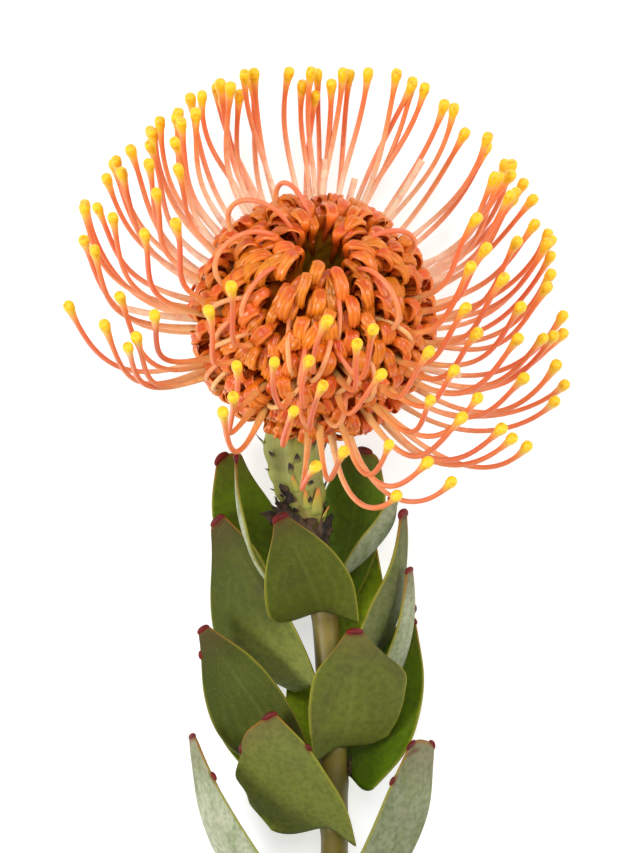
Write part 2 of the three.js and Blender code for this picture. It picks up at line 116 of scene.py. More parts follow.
LEAVES = [
    leaf_form(-63.4, -6, 55, [-7, -42.8, 2], [10, 11, 10.2, 7.2, 1.9], [8, 9, 8, 5.6, 1.9],
        lobes=[3.4, 5.5], cup=0.01, roll=14, light=(0, -0.25)),
    leaf_form(-80, -58, 24, [-21, -43.9, -16.8], [12, 17, 17, 12, 3], [2, 2.4, 2.2, 3.6, 2], lobes=[6, 1],
        cup=0.06, roll=30, light=(0.9, -0.6)),
    leaf_form(-93.4, 22, 46, [9.2, -67.7, -2.6], [7, 8.8, 9.6, 8.6, 3], [10.5, 12.6, 13.2, 12, 3],
        lobes=[5, 2], cup=0.06, light=(0.3, 0.3)),
    leaf_form(-111, -22, 42, [-9.3, -86, -4], [12.5, 15.5, 15, 15.2, 11.5], [7.4, 7, 5.6, 4.2, 1.8],
        lobes=[6.5, 6], cup=0.08, light=(0.5, 0.42),
        calluses=[[0, 1, 1.2], [-0.9, 0.97, 0.9], [1, 0.72, 0.9]]),
    leaf_form(-138, -50, 58, [-26.3, -91, -10], [8, 12, 12, 9, 2], [5, 8, 8, 6, 1.6], cup=0.14, twist=-10,
        calluses=[[0, 1, 1], [1, 0.87, 1]], silver=0.9),
    leaf_form(-133, 48, 44, [25.4, -92, -9], [6, 9.5, 10, 9, 6], [5, 6, 6.4, 6, 2.4], cup=0.1,
        calluses=[[-1, 0.84, 1], [-0.7, 0.96, 1], [0.7, 1, 0.9]], silver=0.42),
    leaf_form(-103, -72, 34, [-24, -67.6, -11], [3, 10, 11.5, 8.5, 1.6], [3, 5.4, 6.6, 5.5, 1.6],
        lobes=[0.5, 0.5], cup=0.04, roll=56, light=(0, -0.6), calluses=[[0, 1, 1], [-1, 0.92, 0.9]]),
    leaf_form(-110.4, -106, 36, [-22.6, -80, -23], [1, 1.6, 4, 4, 1.2], [1.5, 5, 6.5, 6, 1.2],
        lobes=[0.5, 0.5], cup=0.04, roll=-74, glow=0.6),
    leaf_form(-60, -115, 66, [-17, -29.2, -20.6], [4, 7, 7.5, 7, 1.5], [4, 6.5, 7, 7, 4.6], cup=0.1,
        roll=-45, calluses=[[0.8, 1, 1.3]], glow=0.3),
    leaf_form(-62, -62, 65, [-16.4, -29.8, -1], [0.8, 1, 2, 3.4, 1], [0.8, 1, 2, 3.4, 1], lobes=[0.4, 0.4],
        cup=0.16, twist=-30, silver=0.8),
    leaf_form(-65, 140, 26, [11.7, -28.6, -19.5], [3, 7.5, 8.8, 8.3, 5.2], [4, 8, 9, 8.5, 5], cup=0.1,
        glow=0.2),
    leaf_form(-58, 66, 52, [18, -38.4, -4.6], [1, 1.8, 2, 1.4, 0.8], [1.2, 4, 4.8, 4, 1.2],
        lobes=[0.4, 0.4], cup=0.2, roll=-36, silver=0.6),
    leaf_form(-77, 136, 30, [13, -49, -21], [4, 8, 8, 6, 2], [4, 8, 8, 6, 2], cup=0.12, glow=1),
    leaf_form(-82, 88, 38, [19.8, -42, -8], [3, 7, 6.5, 3, 1], [3, 5.5, 5.5, 3.5, 1.2], cup=0.16, roll=-35,
        silver=0.15),
    leaf_form(-91, 95, 50, [21.2, -54.6, -10], [2, 4, 4.2, 3, 1.2], [2, 4, 4.2, 3, 1.2], cup=0.12, roll=-42,
        calluses=[[0, 1, 1], [1, 0.8, 0.9]], silver=0.7),
    leaf_form(-101, 122, 34, [21.6, -66, -20.5], [8, 11.5, 10.6, 7.6, 2], [4, 6, 6, 5, 2], lobes=[5.5, 2],
        cup=0.1, roll=20, twist=10, glow=0.2),
    leaf_form(-111.5, 184, 22, [-4, -77.5, -24.3], [2.5, 3, 3.5, 3.5, 2], [10.5, 9, 8, 6.5, 2.5],
        lobes=[3, 5.5], cup=0.04, glow=1),
]

# Styles still caught by their tips in the crown: side = angle round the head, start = where the arch
# ends in the crown, end = where it springs from the ball, high = how far out its back stands, and drift.
ARCHES = [
    (176, 21, 58, 39, 30),
    (158, 17, 54, 40, 8),
    (-30, 18, 56, 38, -8),
    (16, 15, 50, 37, 8),
    (-66, 22, 54, 30, -6),
    (-82, 34, 74, 30, -4),
    (-142, 22, 60, 35, 14),
    (122, 16, 46, 37, 12),
]
LOW_ARCH_COUNT = 16  # short ones that cross the front of the ball

# Broken styles without a knob: side, lean and reach.
STUBS = [(84, 74, 34), (64, 70, 43), (96, 80, 39), (-166, 92, 41), (-24, 84, 37)]

# Fresh bracts of the stalk: place along it, side, lean from it in radians, width and length.
FRESH_BRACTS = [
    (-43, 40, 0.25, 3.6, 6.2),
    (-37.6, -8, 0.2, 1.8, 4.2),
    (-41.5, 12, 0.2, 2.6, 4.4),
    (-45, 70, 0.4, 2.6, 4),
]

# Dried scales of the stalk: place along it, side, turn from the stem's direction towards -X, width, length
# and how far they stand off.
HUSKS = [
    (-48.5, 10, 38, 5.6, 12.5, 1.4),
    (-46.5, -14, 50, 5, 10, 1.2),
    (-44.6, -36, 24, 4.4, 7.5, 0.9),
    (-45.4, 18, 62, 4.4, 9, 1),
    (-42, -46, 30, 3, 5, 0.8),
    (-39.4, -28, 8, 3.4, 4.6, 0.4),
    (-43.6, -75, 60, 1.6, 5.5, 0.2),
    (-49, 52, -35, 4.6, 6, 0.6),
    (-50.5, 30, -8, 4.2, 6.5, 0.6),
    (-46, 66, -4, 3, 5, 0.3),
    (-100.5, 104, -22, 3.6, 4.4, 0.4),
]

# ---- arithmetic


def jitter(i, k):
    """A repeatable number from 0 to 1 for item i and use k."""
    value = math.sin(i * 12.9898 + k * 78.233) * 43758.5453
    return value - math.floor(value)


def play(i, k):
    """The same from -0.5 to 0.5."""
    return jitter(i, k) - 0.5


def cos_of(degrees):
    return math.cos(math.radians(degrees))


def even_lean(first, last, k, count):
    """Lean of item k of many that share out the sphere's area between two leans, in degrees."""
    near, far = cos_of(first), cos_of(last)
    return math.degrees(math.acos(near + (far - near) * (k + 0.5) / count))


def ramp(value, low, high):
    return float(np.clip((value - low) / (high - low), 0, 1))


def smooth(value, low, high):
    t = np.clip((value - low) / (high - low), 0, 1)
    return t * t * (3 - 2 * t)


def unit(v):
    return v / np.linalg.norm(v)


HEAD_TURNED = Matrix.Rotation(math.radians(HEAD_TURN), 3, "Z")
HEAD_TURNED @= Matrix.Rotation(math.radians(-HEAD_TILT), 3, "X")


def aim(lean, side):
    """Direction from the centre of the head: lean from its axis and side round it, in degrees."""
    a, b = math.radians(lean), math.radians(side)
    local = Vector((math.sin(a) * math.cos(b), math.sin(a) * math.sin(b), math.cos(a)))
    return np.array(HEAD_TURNED @ local)


def turned_about(v, axis, degrees):
    return np.array(Matrix.Rotation(math.radians(degrees), 3, Vector(axis)) @ Vector(v))


def bezier(points, t):
    """Points of a quadratic or cubic Bezier curve at the values t."""
    t = np.asarray(t, float)[:, None]
    points = [np.asarray(p, float) for p in points]
    while len(points) > 1:
        points = [a + (b - a) * t for a, b in zip(points, points[1:])]
    return points[0]


def through(points, count):
    """Evenly numbered points of a smooth curve through the given ones."""
    p = np.asarray(points, float)
    p = np.vstack([2 * p[0] - p[1], p, 2 * p[-1] - p[-2]])
    place = np.linspace(0, len(p) - 3, count)
    k = np.minimum(place.astype(int), len(p) - 4)
    t = (place - k)[:, None]
    a, b, c, d = p[k], p[k + 1], p[k + 2], p[k + 3]
    leave, arrive = (c - a) / 2, (d - b) / 2
    return b + leave * t + (3 * (c - b) - 2 * leave - arrive) * t**2 + (2 * (b - c) + leave + arrive) * t**3


def lengths(points):
    """Distance along a line of points, from the first."""
    steps = np.linalg.norm(np.diff(points, axis=0), axis=1)
    return np.concatenate([[0], np.cumsum(steps)])


def placed(points, distances):
    """Points of a line at the given distances along it."""
    run = lengths(points)
    return np.stack([np.interp(distances, run, points[:, c]) for c in range(3)], axis=1)


# ---- meshes


def link(thing):
    bpy.context.scene.collection.objects.link(thing)
    return thing


def to_world(points):
    """Millimetres from the centre of the head to metres from the table."""
    return (np.asarray(points, float) + [0, 0, HEAD_HEIGHT]) * MM


def new_object(name, points, edges=(), faces=(), **values):
    """A mesh object, with a named float or vector value for each point."""
    mesh = bpy.data.meshes.new(name)
    mesh.from_pydata([tuple(p) for p in to_world(points)], edges, faces)
    for label, value in values.items():
        value = np.asarray(value, np.float32)
        kind, field = ("FLOAT", "value") if value.ndim == 1 else ("FLOAT_VECTOR", "vector")
        mesh.attributes.new(label, kind, "POINT").data.foreach_set(field, value.ravel())
    return link(bpy.data.objects.new(name, mesh))


def tube_faces(rings, sides, start=0):
    """Faces round a tube whose rings of points follow each other."""
    faces = []
    for ring in range(rings - 1):
        for s in range(sides):
            k, n = start + ring * sides + s, start + ring * sides + (s + 1) % sides
            faces.append((k, n, n + sides, k + sides))
    return faces


def sheet_faces(rows, columns):
    """Faces of a thin closed sheet: an upper grid, a lower grid and the rim between them."""
    count = rows * columns
    corners = [r * columns + c for r in range(rows - 1) for c in range(columns - 1)]
    faces = [(k, k + 1, k + columns + 1, k + columns) for k in corners]
    faces += [tuple(count + k for k in reversed(f)) for f in faces]
    rim = list(range(columns))
    rim += [r * columns + columns - 1 for r in range(1, rows)]
    rim += [(rows - 1) * columns + c for c in range(columns - 2, -1, -1)]
    rim += [r * columns for r in range(rows - 2, 0, -1)]
    for a, b in zip(rim, rim[1:] + rim[:1]):
        faces.append((b, a, count + a, count + b))
    return faces


def outward(piece, merged=False):
    """Turn the faces of a closed mesh outwards, once its doubled points, as at a pole, are merged."""
    work = bmesh.new()
    work.from_mesh(piece.data)
    if merged:
        bmesh.ops.remove_doubles(work, verts=work.verts, dist=0.02 * MM)
    bmesh.ops.recalc_face_normals(work, faces=work.faces)
    work.to_mesh(piece.data)
    work.free()


def pattern(name, points, rows, columns, **values):
    """A thin closed sheet round the origin, to be copied."""
    shape = np.array(points) - [0, 0, HEAD_HEIGHT]
    made = new_object(name, shape, faces=sheet_faces(rows, columns), **values)
    outward(made)
    return made


def give(piece, slot, *nodes):
    """Fix a finished piece to the part."""
    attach(piece, "root")
    if nodes:
        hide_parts(*nodes)


def complete(piece, finish, slot, *nodes, merged=False):
    """Close a piece's skin, give it its material and fix it to the part."""
    outward(piece, merged)
    piece.data.polygons.foreach_set("use_smooth", [True] * len(piece.data.polygons))
    piece.data.materials.append(finish)
    give(piece, slot, *nodes)


# ---- geometry nodes


class Nodes:
    """A node tree: put() adds a node, by its type's name with or without the tree's own prefix.

    The node's inputs are given as values or as other nodes' outputs, by name or as _0 and so on.
    """

    def __init__(self, tree, family):
        self.family = family
        self.nodes = tree.nodes
        self.links = tree.links

    def put(self, kind, settings=None, out=0, **inputs):
        node = self.nodes.new(kind if "Node" in kind else self.family + kind)
        for label, value in (settings or {}).items():
            setattr(node, label, value)
        for label, value in inputs.items():
            key = int(label[1:]) if label[0] == "_" else label.replace("_", " ")
            if isinstance(value, bpy.types.NodeSocket):
                self.links.new(value, node.inputs[key])
            else:
                node.inputs[key].default_value = value
        return node.outputs[out] if isinstance(out, str) else [s for s in node.outputs if s.enabled][out]

    def math(self, operation, a, b=0.0):
        return self.put("ShaderNodeMath", {"operation": operation}, _0=a, _1=b)


class Tree(Nodes):
    """A Geometry Nodes tree with named inputs."""

    def __init__(self, name, **inputs):
        self.group = bpy.data.node_groups.new(name, "GeometryNodeTree")
        super().__init__(self.group, "GeometryNode")
        self.names = {}
        socket = self.group.interface.new_socket
        socket("Geometry", in_out="INPUT", socket_type="NodeSocketGeometry")
        for label, value in inputs.items():
            kind = {int: "NodeSocketInt", float: "NodeSocketFloat"}.get(type(value), "NodeSocketMaterial")
            made = socket(label, in_out="INPUT", socket_type=kind)
            made.default_value = value
            self.names[label] = made.identifier
        socket("Geometry", in_out="OUTPUT", socket_type="NodeSocketGeometry")
        self.given = self.nodes.new("NodeGroupInput").outputs

    def value(self, name, kind="FLOAT"):
        return self.put("InputNamedAttribute", {"data_type": kind}, Name=name)

    def vector(self, operation, a, b):
        second = "Scale" if operation == "SCALE" else "_1"
        return self.put("ShaderNodeVectorMath", {"operation": operation}, **{"_0": a, second: b})

    def end(self, geometry):
        """Realize what is left of the instances, give the material and close the tree."""
        geometry = self.put("RealizeInstances", Geometry=geometry)
        geometry = self.put("SetShadeSmooth", Geometry=geometry)
        geometry = self.put("SetMaterial", Geometry=geometry, Material=self.given["Material"])
        self.links.new(geometry, self.nodes.new("NodeGroupOutput").inputs[0])

    def grow(self, source, name, **values):
        """Run the tree on an object and return the result as a plain mesh object."""
        modifier = source.modifiers.new("grow", "NODES")
        modifier.node_group = self.group
        for label, value in values.items():
            modifier[self.names[label]] = value
        graph = bpy.context.evaluated_depsgraph_get()
        mesh = bpy.data.meshes.new_from_object(source.evaluated_get(graph), depsgraph=graph)
        source.modifiers.remove(modifier)
        bpy.data.objects.remove(source)
        mesh.name = name
        return link(bpy.data.objects.new(name, mesh))


def strand_tree():
    """Round strands along lines: thick = radius, wide and widen = direction and amount of flattening."""
    tree = Tree("strands", Sides=8, Material=None)
    line = tree.put("MeshToCurve", Mesh=tree.given["Geometry"])
    place = tree.put("InputPosition")
    line = tree.put("StoreNamedAttribute", {"data_type": "FLOAT_VECTOR"}, Geometry=line,
                    Name="middle", Value=place)
    ring = tree.put("CurvePrimitiveCircle", Resolution=tree.given["Sides"], Radius=1.0)
    skin = tree.put("CurveToMesh", Curve=line, Profile_Curve=ring, Scale=tree.value("thick"),
                    Fill_Caps=True)
    wide = tree.value("wide", "FLOAT_VECTOR")
    off = tree.vector("SUBTRACT", place, tree.value("middle", "FLOAT_VECTOR"))
    along = tree.vector("DOT_PRODUCT", off, wide)
    push = tree.vector("SCALE", wide, tree.math("MULTIPLY", along, tree.value("widen")))
    tree.end(tree.put("SetPosition", Geometry=skin, Offset=push))
    return tree


def repeat_tree(name, kinds):
    """Copies of a few patterns on points: turn, size and kind are the points' own values."""
    tree = Tree(name, Ripple=0.0, Grain=300.0, Material=None)
    join = tree.nodes.new("GeometryNodeJoinGeometry")
    for kind in reversed(kinds):
        shape = tree.put("ObjectInfo", out=4, Object=kind, As_Instance=True)
        tree.links.new(shape, join.inputs[0])
    points = tree.put("MeshToPoints", Mesh=tree.given["Geometry"])
    turn = tree.put("FunctionNodeEulerToRotation", Euler=tree.value("turn", "FLOAT_VECTOR"))
    copies = tree.put("InstanceOnPoints", Points=points, Instance=join.outputs[0],
                      Pick_Instance=True, Instance_Index=tree.value("kind", "INT"), Rotation=turn,
                      Scale=tree.value("size", "FLOAT_VECTOR"))
    copies = tree.put("RealizeInstances", Geometry=copies)
    place = tree.put("InputPosition")
    noise = tree.put("ShaderNodeTexNoise", out=1, Vector=place, Scale=tree.given["Grain"], Detail=1.0)
    shift = tree.vector("SCALE", tree.vector("SUBTRACT", noise, (0.5, 0.5, 0.5)), tree.given["Ripple"])
    tree.end(tree.put("SetPosition", Geometry=copies, Offset=shift))
    return tree


def scatter(name, patterns, spots, **inputs):
    """One piece made of copies of the patterns: a spot has its place, turn, size, kind and other values."""
    values = {label: [spot[label] for spot in spots] for label in spots[0] if label != "place"}
    points = new_object(name + "_spots", [spot["place"] for spot in spots], **values)
    made = repeat_tree(name, patterns).grow(points, name, **inputs)
    for copied in patterns:
        bpy.data.objects.remove(copied)
    return made


# ---- materials


def colour(text):
    """A linear colour from a hexadecimal sRGB one."""
    parts = [int(text[k : k + 2], 16) / 255 for k in (0, 2, 4)]
    return tuple(c / 12.92 if c <= 0.04045 else ((c + 0.055) / 1.055) ** 2.4 for c in parts) + (1,)


class Finish(Nodes):
    """A material: each method adds a node and returns its output, and lay() covers the colour so far."""

    def __init__(self, name, **constants):
        self.material = bpy.data.materials.new(name)
        self.material.use_nodes = True
        super().__init__(self.material.node_tree, "ShaderNode")
        self.shader = self.nodes["Principled BSDF"].inputs
        for label, value in constants.items():
            self.shader[label.replace("_", " ")].default_value = value
        self.place = self.nodes.new("ShaderNodeTexCoord").outputs["Object"]

    def value(self, name):
        return self.put("Attribute", {"attribute_name": name}, out="Fac")

    def times(self, a, b):
        return self.math("MULTIPLY", a, b)

    def span(self, value, low, high, to_low=0, to_high=1):
        return self.put("MapRange", {"interpolation_type": "SMOOTHSTEP"}, Value=value, From_Min=low,
                        From_Max=high, To_Min=to_low, To_Max=to_high)

    def mix(self, share, a, b, blend="MIX"):
        a, b = (colour(tone) if isinstance(tone, str) else tone for tone in (a, b))
        return self.put("Mix", {"data_type": "RGBA", "blend_type": blend}, _0=share, _6=a, _7=b)

    def lay(self, share, tone, blend="MIX"):
        self.tone = self.mix(share, self.tone, tone, blend)

    def steps(self, value, *stops):
        node = self.nodes.new("ShaderNodeValToRGB")
        self.links.new(value, node.inputs[0])
        line = node.color_ramp.elements
        for k, (at, tone) in enumerate(stops):
            stop = line[k] if k < 2 else line.new(at)
            stop.position = at
            stop.color = colour(tone)
        return node.outputs[0]

    def noise(self, scale, detail=3, stretch=(1, 1, 1)):
        spread = self.put("Mapping", Vector=self.place, Scale=stretch)
        return self.put("TexNoise", Vector=spread, Scale=scale, Detail=detail)

    def patches(self, scale, low, high, share=1, detail=3):
        """A value that climbs to a share where a noise runs from low to high."""
        return self.span(self.noise(scale, detail), low, high, 0, share)

    def done(self, height, strength, distance):
        """Put the colour and its fine relief on the shader."""
        relief = self.put("Bump", Height=height, Strength=strength, Distance=distance * MM)
        self.links.new(self.tone, self.shader["Base Color"])
        self.links.new(relief, self.shader["Normal"])
        return self.material


def style_finish():
    """Styles: olive-yellow feet, coral shafts, orange necks and bright yellow pollen presenters, with
    painted backlight making those that point sideways and back paler.
    """
    f = Finish("style_skin", Roughness=0.36, Specular_IOR_Level=0.45, Subsurface_Weight=0.25,
               Subsurface_Scale=0.001, Subsurface_Radius=(1, 0.6, 0.35))
    tone = f.value("tone")
    near = f.steps(tone, (0, "CCA040"), (0.12, "E8B868"), (0.26, "F0A25C"), (0.42, "EE8A4C"),
                   (0.66, "EA753E"), (0.8, "F28A42"), (0.88, "FAA650"), (0.91, "F2C024"), (1, "F8CC1C"))
    # Painted backlight: the paler tones for styles that point sideways, down and back.
    far = f.steps(tone, (0, "F8E6C4"), (0.25, "FCE6CC"), (0.45, "FACCA0"), (0.62, "F2A66C"),
                  (0.78, "EC8444"), (0.85, "F29648"), (0.885, "FBB060"), (0.91, "F2C024"), (1, "F8CC1C"))
    f.tone = f.mix(f.value("pale"), near, far)
    shaft = f.times(f.span(tone, 0.25, 0.5), f.span(tone, 0.86, 0.74))
    f.lay(f.times(shaft, f.value("blush")), "E2583E")
    f.lay(f.times(f.patches(500, 0.45, 0.75, 0.4), f.span(tone, 0.85, 0.8)), "E2744A")
    pollen = f.times(f.patches(900, 0.5, 0.7), f.span(tone, 0.895, 0.92))
    f.lay(f.times(pollen, 0.75), "DE9416")
    return f.done(f.noise(2500), 0.25, 0.1)


def curl_finish():
    """Rolled-back perianths: orange-brown bands with painted highlights on the ribs and painted shade in the
    grooves, pink margins and a red pocket.
    """
    f = Finish("perianth_skin", Roughness=0.27, Specular_IOR_Level=0.5, Subsurface_Weight=0.25,
               Subsurface_Scale=0.0012, Subsurface_Radius=(1, 0.4, 0.05))
    along, across, blush = f.value("along"), f.value("across"), f.value("blush")
    edge = f.math("ABSOLUTE", across)
    face = f.steps(along, (0, "6A3800"), (0.2, "B44A0A"), (0.3, "CE5A10"), (0.37, "EC7A2C"),
                   (0.45, "F28C30"), (0.6, "F4942C"), (0.75, "EE8E26"), (0.9, "E0801C"), (1, "C8700C"))
    back = f.steps(along, (0, "7A5008"), (0.35, "B87210"), (0.6, "DE9A10"), (0.85, "DE9A18"),
                   (1, "C07018"))
    f.tone = f.mix(f.value("back"), face, back)
    rib = f.math("COSINE", f.times(across, 9.42))
    shown = f.span(along, 0.4, 0.52)
    # Painted shade in the grooves between the ribs, then painted highlights along the ribs.
    f.lay(f.times(f.times(f.span(rib, 0.4, -0.7), shown), 0.2), "C4601C")
    f.lay(f.times(f.times(f.span(rib, 0.2, 0.9), shown), 0.3), "FFBE66")
    pocket = f.times(f.span(along, 0.42, 0.47), f.span(along, 0.64, 0.52))
    pocket = f.times(pocket, f.span(edge, 0.95, 0.35))
    f.lay(f.times(pocket, f.span(blush, 0.1, 0.9, 0.45, 1)), "CC3A10")
    margin = f.times(f.span(edge, 0.74, 0.95), f.span(along, 0.25, 0.45))
    f.lay(f.times(margin, 0.45), "F0946C")
    f.lay(f.patches(130, 0.35, 0.7, 0.4, detail=2), "E08E28")
    f.lay(f.span(blush, 0.3, 0, 0, 0.4), "DC9A34")
    f.lay(f.span(blush, 0.5, 1, 0, 0.5), "F07848")
    f.lay(f.patches(420, 0.45, 0.75, 0.4), "D06410")
    f.lay(1, "FFE8AA", "MULTIPLY")
    return f.done(f.math("ADD", f.times(rib, 0.5), f.noise(1600, 4)), 0.4, 0.2)


def core_finish():
    """Packed perianth tubes between the curls, painted dark red-brown as shade in the gaps, and the wall of
    the open crown.
    """
    f = Finish("crown_wall", Roughness=0.75, Specular_IOR_Level=0.05)
    # Outside the crown (depth 0) the dark red-brown is painted shade for the gaps between the curls.
    f.tone = f.steps(f.value("depth"), (0, "8A3A02"), (0.15, "7A3E02"), (0.4, "6E4A06"), (1, "7A5C0A"))
    f.lay(f.times(f.patches(350, 0.4, 0.7, detail=4), 0.6), "9A5C0C")
    return f.done(f.noise(900), 0.5, 0.3)


def stem_finish():
    """The stem: waxy yellow-green on the stalk, olive-tan lower down, and darker brown at the leaf nodes,
    partly its own brown and partly painted shade under the leaf bases.
    """
    f = Finish("stem_skin", Roughness=0.5, Subsurface_Weight=0.12, Subsurface_Scale=0.001)
    f.tone = f.mix(f.value("scaly"), "8A7830", "A6AC50")
    f.lay(f.times(f.patches(160, 0.4, 0.65, detail=4), 0.6), "747430")
    f.lay(f.span(f.noise(220, 3, (4, 0.6, 4)), 0.5, 0.8, 0, 0.5), "8A5A28")
    # Darker brown at the leaf nodes: partly the stem's own brown, partly painted shade under the leaf bases.
    f.lay(f.times(f.value("brown"), 0.6), "4E4412")
    return f.done(f.noise(700, 5), 0.4, 0.25)


def bract_finish():
    """Bracts of the stalk: green at the foot with a black tip, and a few fresh ones with an orange tip."""
    f = Finish("bract_skin", Roughness=0.6)
    along = f.value("along")
    dark = f.steps(along, (0, "8E9A4C"), (0.45, "7E7C34"), (0.62, "4A3A20"), (0.8, "241A14"),
                   (1, "1C1614"))
    ripe = f.steps(along, (0, "9AA24A"), (0.55, "B8A83C"), (0.85, "E08A3C"), (1, "D8603A"))
    f.tone = f.mix(f.value("ripe"), dark, ripe)
    return f.done(f.noise(1400), 0.4, 0.2)


def husk_finish():
    """Dried scales, brown-black and crumbling."""
    f = Finish("husk_skin", Roughness=0.75)
    f.tone = f.mix(f.span(f.noise(500, 6, (1, 0.4, 1)), 0.35, 0.7), "1A1008", "5C452C")
    return f.done(f.noise(900, 5), 0.8, 0.4)


def leaf_finish():
    """Leathery blades: grey-green felt outside with painted sheen where it is seen edge-on, deeper green
    inside, with yellow margins, painted light shining through some blades and painted light and shade on
    each.
    """
    f = Finish("leaf_skin", Roughness=0.56, Specular_IOR_Level=0.12, Subsurface_Weight=0.2,
               Subsurface_Scale=0.0009, Subsurface_Radius=(0.6, 1, 0.2))
    cloud = f.patches(55, 0.3, 0.7, detail=4)
    f.tone = f.mix(cloud, "4A5214", "5C621C")
    f.lay(f.times(f.patches(75, 0.53, 0.68, detail=6), 0.6), "3A2F1C")
    # Pale felt with painted sheen: grazing light on the felt of blades seen edge-on, painted into the
    # colour.
    felt = f.mix(f.span(f.noise(260, 3, (2.2, 0.25, 1)), 0.4, 0.75), "B9BCA0", "93A07A")
    f.lay(f.value("silver"), felt)
    f.lay(f.value("inner"), f.mix(cloud, "2F4804", "3C5F08"))
    # Painted light shining through the blade.
    f.lay(f.value("glow"), "90A80C")
    # Painted light and shade: each blade lighter or darker at its base and tip.
    f.lay(f.span(f.value("light"), 0, 1), "8C9246")
    f.lay(f.span(f.value("light"), 0, -1), "263208")
    f.lay(f.patches(2600, 0.62, 0.74, 0.3, detail=2), "8E955E")
    f.lay(f.patches(800, 0.4, 0.65, 0.3, detail=5), "36401A")
    f.lay(f.times(f.value("vein"), 0.1), "93A058")
    near_tip = f.span(f.value("along"), 0.78, 1)
    f.lay(f.times(near_tip, 0.35), "6A4A34")
    f.lay(f.times(f.value("rim"), 0.8), f.mix(near_tip, "8C862A", "94601E"))
    f.lay(f.times(f.value("callus"), 0.6), "5C2416")
    grain = f.math("ADD", f.noise(1500, 3), f.times(f.noise(260, 2), 1.5))
    return f.done(grain, 0.3, 0.12)


def callus_finish():
    """Hard, dark red calluses, browner in patches."""
    f = Finish("leaf_callus", Roughness=0.5, Specular_IOR_Level=0.25)
    f.tone = f.mix(f.patches(700, 0.35, 0.7, detail=3), "701210", "4A1408")
    return f.done(f.noise(1500, 2), 0.3, 0.12)


def floor_finish():
    return Finish("pale_floor", Roughness=0.9, Base_Color=(0.6, 0.6, 0.6, 1), Emission_Color=(1, 1, 1, 1),
                  Emission_Strength=0.6).material


# ---- stem

stem_line = through(STEM_ROUTE, 2801)


def stem_at(y):
    """Centre, direction up the stem, and the two crosswise directions at a place along it."""
    k = int(np.clip(np.searchsorted(-stem_line[:, 1], -y), 4, len(stem_line) - 5))
    a, b = stem_line[k - 1], stem_line[k]
    share = (y - a[1]) / (b[1] - a[1])
    centre = a + (b - a) * share
    upward = unit(stem_line[k - 4] - stem_line[k + 4])
    right = unit(np.array([1.0, 0, 0]) - upward * upward[0])
    return centre, upward, right, np.cross(right, upward)


def stem_radius(y):
    thick = smooth(-np.asarray(y, float), SCALY_END, SCALY_START)
    return STEM_RADIUS + (PEDUNCLE_RADIUS - STEM_RADIUS) * thick


def stem_out(y, around):
    centre, upward, right, top = stem_at(y)
    a = math.radians(around)
    return centre, upward, top * math.cos(a) + right * math.sin(a)


def make_stem():
    """The stem as one skin, swollen under each bract of the stalk and at the leaf nodes."""
    run = lengths(stem_line)
    rings, sides = STEM_RINGS, STEM_SIDES
    line = placed(stem_line, np.linspace(run[int(np.searchsorted(run, STEM_START))], run[-1], rings))
    points, scaly, brown = [], [], []
    # Cushions: place, side, how far below that place they lie, half width, half length and height.
    bracts = [bract_place(k) for k in range(BRACT_COUNT)]
    cushions = [(y, turn, 0.6, 2.2 * size, 2.4 * size, BRACT_CUSHION * size) for y, turn, size in bracts]
    cushions += [(leaf["at"], leaf["around"], 0.8, 2.4, 2, NODE_CUSHION) for leaf in LEAVES]
    for centre in line:
        y = centre[1]
        _, _, right, top = stem_at(min(y, -2))
        radius = stem_radius(y) - 0.1
        # How strongly the stem is darkened at the nearest leaf node: partly its own brown, partly painted
        # shade.
        node = max(math.exp(-(((y - leaf["at"] - 1) / 4) ** 2)) for leaf in LEAVES)
        for s in range(sides):
            around = 360 * s / sides
            bulge = 0.0
            for place, turn, below, wide, long, high in cushions:
                turned = (around - turn + 180) % 360 - 180
                across = math.radians(turned) * radius / wide
                up = (y - place + below) / long
                bulge = max(bulge, high * math.exp(-across**2 - up**2))
            a = math.radians(around)
            spot = centre + (top * math.cos(a) + right * math.sin(a)) * (radius + bulge)
            spot[2] = max(spot[2], 0.02 - HEAD_HEIGHT)
            points.append(spot)
            scaly.append(smooth(-y, SCALY_END + 4, SCALY_START))
            brown.append(node)
    faces = tube_faces(rings, sides)
    faces += [tuple(range(sides - 1, -1, -1)), tuple(range((rings - 1) * sides, rings * sides))]
    stem = new_object("stem_skin", points, faces=faces, scaly=scaly, brown=brown)
    complete(stem, stem_finish(), "stem", "stem")


def bract_place(k):
    """Place along the stem, side and size of a bract of the stalk."""
    y = -25.5 - (SCALY_END - 24) * (k + 0.5) / BRACT_COUNT + 2.4 * play(k, 25)
    return y, (k * GOLDEN_ANGLE + 36 * play(k, 26)) % 360, 0.7 + 0.55 * jitter(k, 21)


def bract_pattern(rows, columns):
    """One pointed scale, a millimetre wide and long, hollow side to the stem."""
    points, along = [], []
    for side in (1, -1):
        for r in range(rows):
            v = r / (rows - 1)
            half = 0.5 * (1 - v) ** 0.6 * (0.75 + 0.25 * math.sin(math.pi * v)) + 0.02
            for c in range(columns):
                u = 2 * c / (columns - 1) - 1
                lift = 0.12 + 0.25 * v**1.6 - 0.35 * half * u * u
                points.append([u * half, v, lift + side * (0.11 - 0.08 * v) * (1 - 0.5 * u * u)])
                along.append(v)
    return pattern("bract_pattern", points, rows, columns, along=along)


def leaning(upward, out, lean):
    return unit(upward * math.cos(lean) + out * math.sin(lean))


def turn_to(across, up, out):
    """Euler angles that take X, Y and Z to the three directions."""
    basis = Matrix((Vector(across), Vector(up), Vector(out))).transposed()
    return list(basis.to_euler())


def scale_spot(place, up, out, size, ripe=0.0):
    """Where a bract or a dried scale lies: up is its length's direction."""
    across = unit(np.cross(up, out))
    return {"place": place, "turn": turn_to(across, up, np.cross(across, up)), "size": size, "kind": 0,
            "ripe": ripe}


